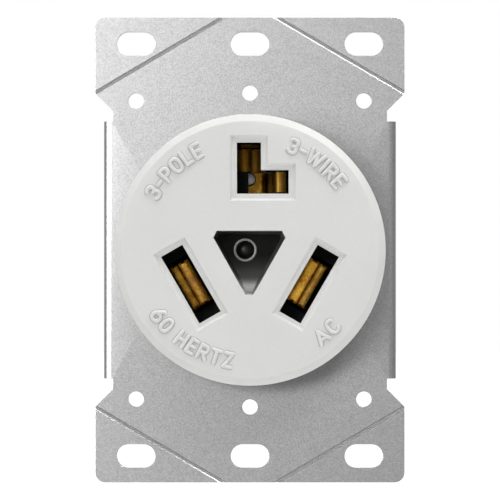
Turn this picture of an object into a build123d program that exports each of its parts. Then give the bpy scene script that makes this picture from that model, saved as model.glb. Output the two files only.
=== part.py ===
from build123d import *
import os

# Three prong dryer receptacle for a two-gang wall box, millimetres.
# X runs to the right, Y runs back into the wall and Z runs up.
# The origin is the centre of the strap's back face.

# Mounting strap
STRAP_THICK = 1.2
EAR_HALF_WIDTH = 31.225
STRAP_HALF_HEIGHT = 46.97
EAR_INNER_Z = 31.65
EAR_CORNER_R = 2.0
NECK_HALF_WIDTH = 27.69
NECK_TOP_Z = 28.1
FLANGE_OUTER_X = 29.57
FLANGE_HALF_LENGTH = 26.0
FLANGE_DEPTH = 4.8
BEND_OUTER_R = 1.6
STRAP_OPENING_R = 23.2
GANG_SPACING = 46.04
BOX_SCREW_SPACING = 83.34
BOX_SLOT_LENGTH = 7.8
BOX_SLOT_WIDTH = 4.8
PLATE_HOLE_R = 1.57
PLATE_CENTRE_SPACING = 63.5
PLATE_GANG_SPACING = 60.33
SCORE_OUTER_Z = 31.8
SCORE_INNER_X = 5.46
SCORE_WIDTH = 0.8
SCORE_DEPTH = 0.4
SCORE_RISE = 0.01

# Face cover
FACE_R = 27.0
FACE_FRONT_Y = -10.7
FACE_PLATE_THICK = 2.5
RIM_CHAMFER_RADIAL = 1.4
RIM_CHAMFER_DEPTH = 1.1
RIM_EDGE_R = 0.3
CUP_INNER_R = 24.8
CUP_RIB_COUNT = 6
CUP_RIB_THICK = 1.2
CUP_RIB_INNER_R = 23.4
LINE_POCKET_BORDER = 1.15
NEUTRAL_POCKET_BORDER = 1.4
POCKET_DEPTH = 0.7
POCKET_TAPER = 32
MOUTH_CHAMFER = 0.15
LINE_SLOT_WIDTH = 4.9
LINE_SLOT_LENGTH = 15.3
LINE_SLOT_RADIUS = 13.58
LEG_LEFT_X = -2.61
LEG_RIGHT_X = 2.18
LEG_TOP_Z = 21.4
FOOT_RIGHT_X = 7.69
FOOT_TOP_Z = 15.9
FOOT_BOTTOM_Z = 11.2
WINDOW_CENTRE_X = -0.12
WINDOW_TOP_Z = 3.8
WINDOW_TOP_HALF = 6.5
WINDOW_CORNER_X = 7.15
WINDOW_CORNER_Z = 2.4
WINDOW_TIP_Z = -8.95
WINDOW_TIP_HALF = 0.77
THIRD_TURN = 120

# Front insulator
INSULATOR_R = 22.9
INSULATOR_PLATE_FRONT_Y = -1.8
INSULATOR_BACK_Y = 1.2
TOWER_WALL = 1.1
MOUTH_MARGIN = 0.3
MOUTH_BACK_Y = -5.6
LINE_CAVITY_HALF_WIDTH = 3.9
LINE_CAVITY_HALF_LENGTH = 8.1
NEUTRAL_CAVITY_MARGIN = 1.0
NEUTRAL_CAVITY_TOP_Z = 21.8
WELL_FLOOR_Y = -3.6
WELL_TAPER = 12
WELL_MARGIN = 0.3
KEY_BLOCK_RIGHT_X = -0.31
KEY_BLOCK_TOP_Z = 15.75
KEY_BLOCK_FRONT_Y = -3.0
KEY_BLOCK_OVERLAP = 0.2

# Rear housing
BASE_HALF_WIDTH = 25.6
BASE_CORNER_CUT = 10.0
BASE_BLOCK_BACK_Y = 9.2
BASE_BACK_Y = 24.0
LOBE_HALF_WIDTH = 8.4
LOBE_INNER_Z = 9.0
LOBE_EDGE_R = 1.5
HUB_R = 13.0
HUB_BACK_Y = 21.0
REBATE_R = 23.05
LUG_POCKET_HALF_WIDTH = 5.7
LUG_POCKET_INNER_Z = 11.4
LUG_POCKET_OUTER_Z = 24.4
LUG_POCKET_BACK_Y = 19.9
LEAF_POCKET_HALF_LENGTH = 5.2
LEAF_POCKET_INNER_Z = 8.9
LEAF_POCKET_BACK_Y = 9.7
FOOT_POCKET_RIGHT_X = 8.6
FOOT_POCKET_LOW_Z = 10.6
FOOT_POCKET_HIGH_Z = 16.7
FOOT_POCKET_BACK_Y = 11.4
WIRE_HOLE_R = 3.6
WIRE_HOLE_Z = 18.9
WIRE_FUNNEL = 1.2
ACCESS_HOLE_R = 3.4
RIB_THICK = 2.0
RIB_BACK_Y = 17.0

# Brass contacts, steel springs and rivets
BRASS_THICK = 0.7
SPRING_THICK = 0.5
FIT_GAP = 0.02
LEAF_HALF_LENGTH = 4.8
LEAF_CORNER_R = 1.4
CONTACT_BACK_Y = 9.2
LEAF_ROOT = 2.7
LEAF_KNEE = 2.9
LEAF_KNEE_Y = 4.5
LEAF_THROAT = 0.52
LEAF_THROAT_Y = -2.2
LEAF_LIP_Y = -4.8
NARROW_LIP = ((0.45, -4.8), (1.27, -4.8), (1.32, -3.8))
WIDE_LIP = ((0.45, -4.8), (1.35, -4.8), (1.95, -4.1), (2.0, -3.3))
LEAF_FOLD_R = 0.4
LEFT_SEAM_SHIFT = 0.55
RIGHT_SEAM_SHIFT = -0.08
SPRING_END_GAP = 0.8
SPRING_REACH_TRIM = 1.2

# Neutral contact
NEUTRAL_SEAM_X = -0.02
NEUTRAL_LEAF_LOW_Z = 15.8
NEUTRAL_LEAF_HIGH_Z = 20.25
NEUTRAL_EXTRA_GAP = 0.05
NEUTRAL_DEPTH_SHIFT = 3.4
NEUTRAL_PLATE_LEFT_X = -2.4
NEUTRAL_PLATE_RIGHT_X = 2.3
FOOT_STRIP_LOW_Z = 11.7
FOOT_STEP_DEPTH = 1.6
FOOT_STEP_X = 3.5
FOOT_RISE_X = 4.9
FOOT_LEAF = ((5.42, 1.6), (5.47, -1.2), (6.4, -1.2), (6.98, -0.5), (7.0, 0.3))
END_TAB_HALF_WIDTH = 1.9
END_TAB_HIGH_Z = 21.45
END_TAB_FRONT_Y = 2.0
JOINT_OVERLAP = 0.3

# Contact rivets
LINE_RIVET = (0, 13.8)
NEUTRAL_RIVET = (-0.27, 14.55)
RIVET_HEAD_R = 1.48
RIVET_HEAD_THICK = 0.7
RIVET_HEAD_CHAMFER = 0.2
RIVET_SHANK_R = 1.0

# Terminals
LUG_HALF_WIDTH = 5.5
LUG_INNER_Z = 15.6
LUG_OUTER_Z = 24.2
LUG_BACK_Y = 19.7
LUG_TAB_HALF_WIDTH = 1.9
LUG_TAB_INNER_Z = 11.9
LUG_TAB_THICK = 3.0
LUG_CHAMFER = 0.5
LUG_BORE_R = 3.0
LUG_BORE_FRONT_Y = 11.0
LUG_NOTCH_GAP = 0.15
SET_SCREW_R = 2.9
SET_SCREW_Y = 14.6
SET_SCREW_INNER_Z = 22.0
SET_SCREW_OUTER_Z = 28.0
SCREW_FIT_GAP = 0.05
SCREW_SLOT_WIDTH = 0.9
SCREW_SLOT_DEPTH = 1.4
SCREW_END_CHAMFER = 0.5

# Centre rivet and assembly screws
RIVET_X = -0.95
EYELET_R = 2.4
EYELET_BEAD_R = 0.23
EYELET_HOLLOW_R = 1.45
EYELET_HOLLOW_DEPTH = 3.0
EYELET_SHANK_R = 1.9
REAR_HEAD_R = 3.3
REAR_HEAD_THICK = 0.9
REAR_HEAD_BEVEL = 0.4
EYELET_FLOOR_RISE = 0.6
ASSEMBLY_RADIUS = 19.5
ASSEMBLY_ANGLES = {"upper_left": 60, "upper_right": -60, "lower": 180}
BOSS_R = 2.4
BOSS_BORE_R = 1.55
BOSS_BORE_FRONT_Y = -7.0
ASSEMBLY_SHANK_R = 1.5
ASSEMBLY_TIP_Y = -6.3
ASSEMBLY_HEAD_R = 2.9
ASSEMBLY_HEAD_THICK = 2.0
ASSEMBLY_SEAT_Y = 13.0
ASSEMBLY_TIP_CHAMFER = 0.6
ASSEMBLY_HEAD_EDGE_R = 0.9
RECESS_ARM = 1.5
RECESS_HALF_WIDTH = 0.4
RECESS_DEPTH = 1.0
SCREW_BOSS_R = 4.3
CLEARANCE = 0.15
OVERLAP = 0.5
CUT_PAST = 1.0

FACE_BACK_Y = FACE_FRONT_Y + FACE_PLATE_THICK
TURN_AXIS = Axis((0, 0, 0), (0, -1, 0))


def front_slab(sketch, front, back):
    """Give a front-view outline its depth, from front to back along +Y."""
    return extrude(Plane.XZ.offset(-back) * sketch, amount=back - front, dir=(0, -1, 0))


def front_disc(radius, front, back, x=0.0, z=0.0):
    """A round bar along Y between two depths."""
    return front_slab(Pos(x, z) * Circle(radius), front, back)


def front_block(low_x, high_x, low_z, high_z, front, back):
    """A rectangular block given by its sides in the front view."""
    outline = Pos((low_x + high_x) / 2, (low_z + high_z) / 2) * Rectangle(high_x - low_x, high_z - low_z)
    return front_slab(outline, front, back)


def turned(shape, angle):
    """Turn a shape about the Y axis, anticlockwise as seen from the front."""
    return shape.rotate(TURN_AXIS, angle)


def upright_bar(radius, low_z, high_z, depth):
    """A round bar along Z at one depth."""
    return Pos(0, depth, (low_z + high_z) / 2) * Cylinder(radius, high_z - low_z)


def line_slot_outline(margin=0.0):
    """The line slot's rectangle, drawn above the centre before it is turned into place."""
    width = LINE_SLOT_LENGTH + 2 * margin
    height = LINE_SLOT_WIDTH + 2 * margin
    return Pos(0, LINE_SLOT_RADIUS) * Rectangle(width, height)


def neutral_outline(margin=0.0):
    """The neutral slot's L, with its foot pointing right."""
    left = LEG_LEFT_X - margin
    right = LEG_RIGHT_X + margin
    far_right = FOOT_RIGHT_X + margin
    bottom = FOOT_BOTTOM_Z - margin
    step = FOOT_TOP_Z + margin
    top = LEG_TOP_Z + margin
    return Polygon(
        (left, bottom),
        (far_right, bottom),
        (far_right, step),
        (right, step),
        (right, top),
        (left, top),
    )


def window_outline():
    """The triangular window, point down, with its corners cut off."""
    outline = Polygon(
        (-WINDOW_TIP_HALF, WINDOW_TIP_Z),
        (WINDOW_TIP_HALF, WINDOW_TIP_Z),
        (WINDOW_CORNER_X, WINDOW_CORNER_Z),
        (WINDOW_TOP_HALF, WINDOW_TOP_Z),
        (-WINDOW_TOP_HALF, WINDOW_TOP_Z),
        (-WINDOW_CORNER_X, WINDOW_CORNER_Z),
    )
    return Pos(WINDOW_CENTRE_X, 0) * outline


def make_strap():
    """Sheet steel strap: a channel with folded sides, four ears, slots, holes and grooves."""
    channel_top = FLANGE_DEPTH - STRAP_THICK
    height = channel_top + STRAP_THICK
    mid_depth = (channel_top - STRAP_THICK) / 2
    outer = Pos(0, mid_depth) * Rectangle(2 * FLANGE_OUTER_X, height)
    front_corners = outer.vertices().group_by(Axis.Y)[0]
    outer = fillet(front_corners, BEND_OUTER_R)
    inner_x = FLANGE_OUTER_X - STRAP_THICK
    inner = Pos(0, mid_depth + STRAP_THICK / 2) * Rectangle(2 * inner_x, height - STRAP_THICK)
    inner_corners = inner.vertices().group_by(Axis.Y)[0]
    inner = fillet(inner_corners, BEND_OUTER_R - STRAP_THICK)
    channel = extrude(Pos(0, 0, -FLANGE_HALF_LENGTH) * (outer - inner), amount=2 * FLANGE_HALF_LENGTH)

    ear = Polygon(
        (-NECK_HALF_WIDTH, 0),
        (NECK_HALF_WIDTH, 0),
        (NECK_HALF_WIDTH, NECK_TOP_Z),
        (EAR_HALF_WIDTH, EAR_INNER_Z),
        (EAR_HALF_WIDTH, STRAP_HALF_HEIGHT),
        (-EAR_HALF_WIDTH, STRAP_HALF_HEIGHT),
        (-EAR_HALF_WIDTH, EAR_INNER_Z),
        (-NECK_HALF_WIDTH, NECK_TOP_Z),
    )
    ear = fillet(ear.vertices().group_by(Axis.Y)[-1], EAR_CORNER_R)
    plate = front_slab(ear, -STRAP_THICK, 0)
    strap = channel + plate + plate.mirror(Plane.XY)

    gangs = (-GANG_SPACING / 2, 0, GANG_SPACING / 2)
    slot = SlotOverall(BOX_SLOT_LENGTH, BOX_SLOT_WIDTH)
    cuts = [front_disc(STRAP_OPENING_R, -STRAP_THICK, 0)]
    for side in (-1, 1):
        for x in gangs:
            cuts.append(front_slab(Pos(x, side * BOX_SCREW_SPACING / 2) * slot, -STRAP_THICK, 0))
            spacing = PLATE_GANG_SPACING if x else PLATE_CENTRE_SPACING
            cuts.append(front_disc(PLATE_HOLE_R, -STRAP_THICK, 0, x, side * spacing / 2))
    strap = strap - cuts

    groove = score_groove()
    left_groove = groove.mirror(Plane.YZ)
    return strap - [groove, left_groove, groove.mirror(Plane.XY), left_groove.mirror(Plane.XY)]


def score_groove():
    """The upper right break-off groove: a V pressed into the strap's front face."""
    outer = Vector(EAR_HALF_WIDTH, -STRAP_THICK, SCORE_OUTER_Z)
    inner = Vector(SCORE_INNER_X, -STRAP_THICK, STRAP_HALF_HEIGHT)
    along = (inner - outer).normalized()
    profile_plane = Plane(origin=outer - along * CUT_PAST, x_dir=(0, 1, 0), z_dir=along)
    profile = Polygon(
        (-SCORE_RISE, -SCORE_WIDTH / 2),
        (SCORE_DEPTH, 0),
        (-SCORE_RISE, SCORE_WIDTH / 2),
    )
    return extrude(profile_plane * profile, amount=(inner - outer).length + 2 * CUT_PAST, dir=along)


def sloped_cut(outline, front, depth, taper):
    """A cut that narrows by a taper angle from a front outline down to its floor."""
    plane = Plane(origin=(0, front, 0), x_dir=(-1, 0, 0), z_dir=(0, 1, 0))
    flipped = mirror(outline, about=Plane.YZ)
    return extrude(plane * flipped, amount=depth, taper=taper)


def make_face():
    """White face moulding: a hollow cup with slots, pockets, window, ribs and screw bosses."""
    profile = Polygon(
        (0, FACE_FRONT_Y),
        (FACE_R - RIM_CHAMFER_RADIAL, FACE_FRONT_Y),
        (FACE_R, FACE_FRONT_Y + RIM_CHAMFER_DEPTH),
        (FACE_R, -STRAP_THICK),
        (CUP_INNER_R, -STRAP_THICK),
        (CUP_INNER_R, FACE_BACK_Y),
        (0, FACE_BACK_Y),
    )
    rim_corners = profile.vertices().filter_by(lambda v: v.X > CUP_INNER_R and v.Y < FACE_BACK_Y)
    profile = fillet(rim_corners, RIM_EDGE_R)
    cup = revolve(profile, Axis.Y)

    added = []
    for number in range(CUP_RIB_COUNT):
        rib = front_block(-CUP_RIB_THICK / 2, CUP_RIB_THICK / 2, CUP_RIB_INNER_R, CUP_INNER_R + OVERLAP,
                          FACE_BACK_Y - OVERLAP, -STRAP_THICK - CLEARANCE)
        added.append(turned(rib, 360 / CUP_RIB_COUNT * (number + 0.5)))
    for angle in ASSEMBLY_ANGLES.values():
        boss = front_disc(BOSS_R, FACE_BACK_Y - OVERLAP, INSULATOR_BACK_Y, 0, ASSEMBLY_RADIUS)
        added.append(turned(boss, angle))
    face = cup + added

    cuts = []
    line_through = front_slab(line_slot_outline(), FACE_FRONT_Y - CUT_PAST, FACE_BACK_Y + CUT_PAST)
    line_pocket = sloped_cut(line_slot_outline(LINE_POCKET_BORDER), FACE_FRONT_Y, POCKET_DEPTH, POCKET_TAPER)
    for angle in (THIRD_TURN, -THIRD_TURN):
        cuts.append(turned(line_through, angle))
        cuts.append(turned(line_pocket, angle))
    cuts.append(front_slab(neutral_outline(), FACE_FRONT_Y - CUT_PAST, FACE_BACK_Y + CUT_PAST))
    cuts.append(sloped_cut(neutral_outline(NEUTRAL_POCKET_BORDER), FACE_FRONT_Y, POCKET_DEPTH, POCKET_TAPER))
    cuts.append(front_slab(window_outline(), FACE_FRONT_Y - CUT_PAST, FACE_BACK_Y + CUT_PAST))
    window_mouth = offset(window_outline(), MOUTH_CHAMFER, kind=Kind.INTERSECTION)
    cuts.append(sloped_cut(window_mouth, FACE_FRONT_Y, MOUTH_CHAMFER, 45))
    for angle in ASSEMBLY_ANGLES.values():
        bore = front_disc(BOSS_BORE_R, BOSS_BORE_FRONT_Y, INSULATOR_BACK_Y + CUT_PAST, 0, ASSEMBLY_RADIUS)
        cuts.append(turned(bore, angle))
    return face - cuts


def make_insulator():
    """Black moulding between face and housing: a disc with a tower round each contact and a dished well."""
    disc = front_disc(INSULATOR_R, INSULATOR_PLATE_FRONT_Y, INSULATOR_BACK_Y)
    limit = front_disc(INSULATOR_R, FACE_BACK_Y, INSULATOR_BACK_Y)

    line_height = 2 * LINE_CAVITY_HALF_WIDTH
    line_length = 2 * LINE_CAVITY_HALF_LENGTH
    line_cavity = Pos(0, LINE_SLOT_RADIUS) * Rectangle(line_length, line_height)
    line_tower = Pos(0, LINE_SLOT_RADIUS) * Rectangle(line_length + 2 * TOWER_WALL, line_height + 2 * TOWER_WALL)
    neutral_cavity = neutral_outline(NEUTRAL_CAVITY_MARGIN)
    above = Pos(0, NEUTRAL_CAVITY_TOP_Z + INSULATOR_R / 2) * Rectangle(INSULATOR_R, INSULATOR_R)
    neutral_cavity = neutral_cavity - above
    neutral_tower = neutral_outline(NEUTRAL_CAVITY_MARGIN + TOWER_WALL)
    well_mouth = offset(window_outline(), WELL_MARGIN, kind=Kind.INTERSECTION)
    well_tower = offset(window_outline(), WELL_MARGIN + TOWER_WALL, kind=Kind.INTERSECTION)

    towers = [
        front_slab(neutral_tower, FACE_BACK_Y, INSULATOR_PLATE_FRONT_Y),
        front_slab(well_tower, FACE_BACK_Y, INSULATOR_PLATE_FRONT_Y),
    ]
    cuts = [
        front_slab(neutral_outline(MOUTH_MARGIN), FACE_BACK_Y - CUT_PAST, MOUTH_BACK_Y),
        front_slab(neutral_cavity, MOUTH_BACK_Y, INSULATOR_BACK_Y),
        sloped_cut(well_mouth, FACE_BACK_Y, WELL_FLOOR_Y - FACE_BACK_Y, WELL_TAPER),
        front_disc(EYELET_SHANK_R, WELL_FLOOR_Y - CUT_PAST, INSULATOR_BACK_Y, RIVET_X),
    ]
    for angle in (THIRD_TURN, -THIRD_TURN):
        towers.append(turned(front_slab(line_tower, FACE_BACK_Y, INSULATOR_PLATE_FRONT_Y), angle))
        cuts.append(turned(front_slab(line_slot_outline(MOUTH_MARGIN), FACE_BACK_Y - CUT_PAST, MOUTH_BACK_Y), angle))
        cuts.append(turned(front_slab(line_cavity, MOUTH_BACK_Y, INSULATOR_BACK_Y), angle))
    for angle in ASSEMBLY_ANGLES.values():
        hole = front_disc(BOSS_R + CLEARANCE, FACE_BACK_Y, INSULATOR_BACK_Y, 0, ASSEMBLY_RADIUS)
        cuts.append(turned(hole, angle))
    moulding = (disc + towers) & limit
    moulding = moulding - cuts

    cavity_left = LEG_LEFT_X - NEUTRAL_CAVITY_MARGIN
    cavity_bottom = FOOT_BOTTOM_Z - NEUTRAL_CAVITY_MARGIN
    key_block = front_block(cavity_left - KEY_BLOCK_OVERLAP, KEY_BLOCK_RIGHT_X, cavity_bottom - KEY_BLOCK_OVERLAP,
                            KEY_BLOCK_TOP_Z, KEY_BLOCK_FRONT_Y, INSULATOR_BACK_Y)
    return moulding + key_block


def make_base():
    """Black rear housing: a cut-cornered block with three terminal housings and a hub behind it."""
    width = 2 * BASE_HALF_WIDTH
    outline = chamfer(Rectangle(width, width).vertices(), BASE_CORNER_CUT)
    block = front_slab(outline, 0, BASE_BLOCK_BACK_Y)
    lobe_centre = (LOBE_INNER_Z + BASE_HALF_WIDTH) / 2
    lobe_outline = Pos(0, lobe_centre) * Rectangle(2 * LOBE_HALF_WIDTH, BASE_HALF_WIDTH - LOBE_INNER_Z)
    lobe_outline = fillet(lobe_outline.vertices().group_by(Axis.Y)[-1], LOBE_EDGE_R)
    lobe = front_slab(lobe_outline, BASE_BLOCK_BACK_Y - OVERLAP, BASE_BACK_Y)
    screw_boss = front_disc(SCREW_BOSS_R, BASE_BLOCK_BACK_Y - OVERLAP, ASSEMBLY_SEAT_Y, 0, ASSEMBLY_RADIUS)
    rib = front_block(-RIB_THICK / 2, RIB_THICK / 2, 0, ASSEMBLY_RADIUS - SCREW_BOSS_R + OVERLAP,
                      BASE_BLOCK_BACK_Y - OVERLAP, RIB_BACK_Y)
    added = [front_disc(HUB_R, BASE_BLOCK_BACK_Y - OVERLAP, HUB_BACK_Y)]
    for angle in (0, THIRD_TURN, -THIRD_TURN):
        added.append(turned(lobe, angle))
    for angle in ASSEMBLY_ANGLES.values():
        added.append(turned(screw_boss, angle))
        added.append(turned(rib, angle))
    body = block + added

    pocket_front = INSULATOR_BACK_Y - OVERLAP
    lug_pocket = front_block(-LUG_POCKET_HALF_WIDTH, LUG_POCKET_HALF_WIDTH, LUG_POCKET_INNER_Z,
                             LUG_POCKET_OUTER_Z, pocket_front, LUG_POCKET_BACK_Y)
    leaf_pocket = front_block(-LEAF_POCKET_HALF_LENGTH, LEAF_POCKET_HALF_LENGTH, LEAF_POCKET_INNER_Z,
                              LUG_POCKET_INNER_Z + CUT_PAST, pocket_front, LEAF_POCKET_BACK_Y)
    foot_pocket = front_block(0, FOOT_POCKET_RIGHT_X, FOOT_POCKET_LOW_Z, FOOT_POCKET_HIGH_Z,
                              pocket_front, FOOT_POCKET_BACK_Y)
    wire_hole = front_disc(WIRE_HOLE_R, LUG_POCKET_BACK_Y - CUT_PAST, BASE_BACK_Y, 0, WIRE_HOLE_Z)
    funnel = Pos(0, BASE_BACK_Y - WIRE_FUNNEL / 2, WIRE_HOLE_Z) * Rot(-90, 0, 0) * Cone(
        WIRE_HOLE_R, WIRE_HOLE_R + WIRE_FUNNEL, WIRE_FUNNEL)
    access = upright_bar(ACCESS_HOLE_R, LUG_POCKET_OUTER_Z - CUT_PAST, BASE_HALF_WIDTH + CUT_PAST, SET_SCREW_Y)
    cuts = [
        front_disc(REBATE_R, -CUT_PAST, INSULATOR_BACK_Y),
        foot_pocket,
        front_disc(EYELET_SHANK_R, -CUT_PAST, HUB_BACK_Y + CUT_PAST, RIVET_X),
    ]
    for angle in (0, THIRD_TURN, -THIRD_TURN):
        for shape in (lug_pocket, leaf_pocket, wire_hole, funnel, access):
            cuts.append(turned(shape, angle))
    for angle in ASSEMBLY_ANGLES.values():
        hole = front_disc(ASSEMBLY_SHANK_R + CLEARANCE, -CUT_PAST, ASSEMBLY_SEAT_Y + CUT_PAST, 0,
                          ASSEMBLY_RADIUS)
        cuts.append(turned(hole, angle))
    return body - cuts


def strip_section(points, thickness):
    """The section of a folded strip: a path with rounded folds, given its thickness."""
    path = FilletPolyline(*points, radius=LEAF_FOLD_R)
    return trace(path, thickness)


def leaf_points(centre, side, lip, gap=0.0, depth=0.0):
    """Half of a contact's section, from its back plate forward to the curled lip of one leaf."""
    shape = [
        (LEAF_ROOT, CONTACT_BACK_Y - BRASS_THICK / 2),
        (LEAF_KNEE, LEAF_KNEE_Y + depth / 2),
        (LEAF_THROAT + gap, LEAF_THROAT_Y + depth),
    ]
    shape += [(across + gap, y + depth) for across, y in lip]
    return [(centre + side * across, y) for across, y in shape]


def spring_points(centre, side, gap=0.0, depth=0.0):
    """Half of a back-up spring's section, close outside one leaf."""
    away = (BRASS_THICK + SPRING_THICK) / 2 + FIT_GAP
    back = CONTACT_BACK_Y + SPRING_THICK / 2
    knee_y = LEAF_KNEE_Y + depth / 2
    slope = (LEAF_KNEE - LEAF_THROAT - gap) / (knee_y - LEAF_THROAT_Y - depth)
    lean = (1 + slope * slope) ** 0.5
    reach = knee_y - LEAF_THROAT_Y - depth - SPRING_REACH_TRIM
    shape = [
        (LEAF_ROOT + away, back),
        (LEAF_KNEE + away * lean, knee_y),
        (LEAF_KNEE - slope * reach + away * lean, knee_y - reach),
    ]
    return [(centre + side * across, y) for across, y in shape]


def contact_section(centre, low_lip, high_lip, gap=0.0, depth=0.0):
    """The section of a two-leaf contact, from one lip round the back plate to the other."""
    low = leaf_points(centre, -1, low_lip, gap, depth)
    high = leaf_points(centre, 1, high_lip, gap, depth)
    return strip_section(low[::-1] + high, BRASS_THICK)


def spring_section(centre, gap=0.0, depth=0.0):
    """The section of the steel spring that backs up both leaves of a contact."""
    low = spring_points(centre, -1, gap, depth)
    high = spring_points(centre, 1, gap, depth)
    return strip_section(low[::-1] + high, SPRING_THICK)


def rivet_hole(place):
    """The hole for a contact rivet through a contact, its spring and its lug."""
    return front_disc(RIVET_SHANK_R, 0, LUG_BACK_Y, *place)


def across_strip(section, low_x, high_x):
    """A strip whose section lies in the YZ plane, with its first coordinate along Z."""
    plane = Plane(origin=(low_x, 0, 0), x_dir=(0, 0, 1), z_dir=(-1, 0, 0))
    return extrude(plane * section, amount=high_x - low_x, dir=(1, 0, 0))


def make_line_contact(shift, angle):
    """One folded brass contact with two leaves, the inner lip wider, their ends rounded."""
    section = contact_section(LINE_SLOT_RADIUS + shift, WIDE_LIP, NARROW_LIP)
    strip = across_strip(section, -LEAF_HALF_LENGTH, LEAF_HALF_LENGTH)
    return turned(strip - [lip_corner(1), lip_corner(-1), rivet_hole(LINE_RIVET)], angle)


def lip_corner(side):
    """What is cut away to round one end of a line contact's lips."""
    front = LEAF_LIP_Y - BRASS_THICK / 2
    centre_x = side * (LEAF_HALF_LENGTH - LEAF_CORNER_R)
    centre_y = front + LEAF_CORNER_R
    reach = LEAF_CORNER_R + OVERLAP
    corner = Pos(centre_x + side * reach / 2, centre_y - reach / 2) * Rectangle(reach, reach)
    corner = corner - Pos(centre_x, centre_y) * Circle(LEAF_CORNER_R)
    span = 2 * LINE_CAVITY_HALF_WIDTH
    return extrude(Pos(0, 0, LINE_SLOT_RADIUS - span / 2) * corner, amount=span)


def make_line_spring(shift, angle):
    """Steel back-up spring round a line contact."""
    half = LEAF_HALF_LENGTH - SPRING_END_GAP
    spring = across_strip(spring_section(LINE_SLOT_RADIUS + shift), -half, half)
    return turned(spring - rivet_hole(LINE_RIVET), angle)


def make_neutral_contact():
    """Folded brass neutral contact: two leaves for the leg, a plate, an end tab and a foot leaf."""
    leaf_section = contact_section(NEUTRAL_SEAM_X, WIDE_LIP, WIDE_LIP, NEUTRAL_EXTRA_GAP, NEUTRAL_DEPTH_SHIFT)
    leaf_span = NEUTRAL_LEAF_HIGH_Z - NEUTRAL_LEAF_LOW_Z
    leaves = extrude(Pos(0, 0, NEUTRAL_LEAF_LOW_Z) * leaf_section, amount=leaf_span)
    back = CONTACT_BACK_Y - BRASS_THICK / 2
    foot_path = [
        (NEUTRAL_PLATE_LEFT_X, back),
        (NEUTRAL_PLATE_RIGHT_X, back),
        (FOOT_STEP_X, back + FOOT_STEP_DEPTH),
        (FOOT_RISE_X, back + FOOT_STEP_DEPTH),
        *FOOT_LEAF,
    ]
    foot_span = NEUTRAL_LEAF_LOW_Z - FOOT_STRIP_LOW_Z
    foot = extrude(Pos(0, 0, FOOT_STRIP_LOW_Z) * strip_section(foot_path, BRASS_THICK), amount=foot_span)
    front = CONTACT_BACK_Y - BRASS_THICK
    half = END_TAB_HALF_WIDTH
    end_plate = front_block(-half, half, NEUTRAL_LEAF_HIGH_Z - JOINT_OVERLAP, END_TAB_HIGH_Z, front, CONTACT_BACK_Y)
    end_tab = front_block(-half, half, END_TAB_HIGH_Z - BRASS_THICK, END_TAB_HIGH_Z, END_TAB_FRONT_Y,
                          CONTACT_BACK_Y)
    joint = front_block(-half, half, NEUTRAL_LEAF_LOW_Z - JOINT_OVERLAP, NEUTRAL_LEAF_LOW_Z + JOINT_OVERLAP,
                        front, CONTACT_BACK_Y)
    return (leaves + foot + joint + end_plate + end_tab) - rivet_hole(NEUTRAL_RIVET)


def make_neutral_spring():
    """Steel back-up spring round the neutral contact's two leaves."""
    section = spring_section(NEUTRAL_SEAM_X, NEUTRAL_EXTRA_GAP, NEUTRAL_DEPTH_SHIFT)
    low_z = NEUTRAL_LEAF_LOW_Z + SPRING_END_GAP
    high_z = NEUTRAL_LEAF_HIGH_Z - SPRING_END_GAP
    return extrude(Pos(0, 0, low_z) * section, amount=high_z - low_z)


def make_lug(angle, tab_front, rivet):
    """Wire terminal: a block with a blind wire bore, a threaded cross hole and a riveting tab."""
    lug_front = CONTACT_BACK_Y + SPRING_THICK
    block = front_block(-LUG_HALF_WIDTH, LUG_HALF_WIDTH, LUG_INNER_Z, LUG_OUTER_Z, lug_front, LUG_BACK_Y)
    block = chamfer(block.edges().filter_by(Axis.Y), LUG_CHAMFER)
    tab = front_block(-LUG_TAB_HALF_WIDTH, LUG_TAB_HALF_WIDTH, LUG_TAB_INNER_Z, LUG_INNER_Z + OVERLAP,
                      tab_front, tab_front + LUG_TAB_THICK)
    if tab_front < lug_front:
        tab = tab - front_block(-LUG_HALF_WIDTH, LUG_HALF_WIDTH, LUG_INNER_Z, LUG_OUTER_Z, 0, lug_front)
        notch_back = CONTACT_BACK_Y + FOOT_STEP_DEPTH + LUG_NOTCH_GAP
        block = block - front_block(NEUTRAL_PLATE_RIGHT_X, LUG_OUTER_Z, 0, NEUTRAL_LEAF_LOW_Z + LUG_NOTCH_GAP,
                                    0, notch_back)
    wire_bore = front_disc(LUG_BORE_R, LUG_BORE_FRONT_Y, LUG_BACK_Y + CUT_PAST, 0, WIRE_HOLE_Z)
    screw_hole = upright_bar(SET_SCREW_R + SCREW_FIT_GAP, WIRE_HOLE_Z, LUG_OUTER_Z + CUT_PAST, SET_SCREW_Y)
    return turned((block + tab) - [wire_bore, screw_hole, rivet_hole(rivet)], angle)


def make_contact_rivet(angle, tab_front, place):
    """Steel rivet that joins a contact to its lug: flat head in front, pressed tail behind."""
    head_back = CONTACT_BACK_Y - BRASS_THICK
    head = front_disc(RIVET_HEAD_R, head_back - RIVET_HEAD_THICK, head_back, *place)
    head = chamfer(head.edges().group_by(Axis.Y)[0], RIVET_HEAD_CHAMFER)
    tab_back = tab_front + LUG_TAB_THICK
    shank = front_disc(RIVET_SHANK_R, head_back, tab_back, *place)
    tail_r = min(RIVET_HEAD_R, LUG_INNER_Z - place[1] - FIT_GAP)
    tail = front_disc(tail_r, tab_back, tab_back + RIVET_HEAD_THICK, *place)
    tail = chamfer(tail.edges().group_by(Axis.Y)[-1], RIVET_HEAD_CHAMFER)
    return turned(head + shank + tail, angle)


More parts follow.
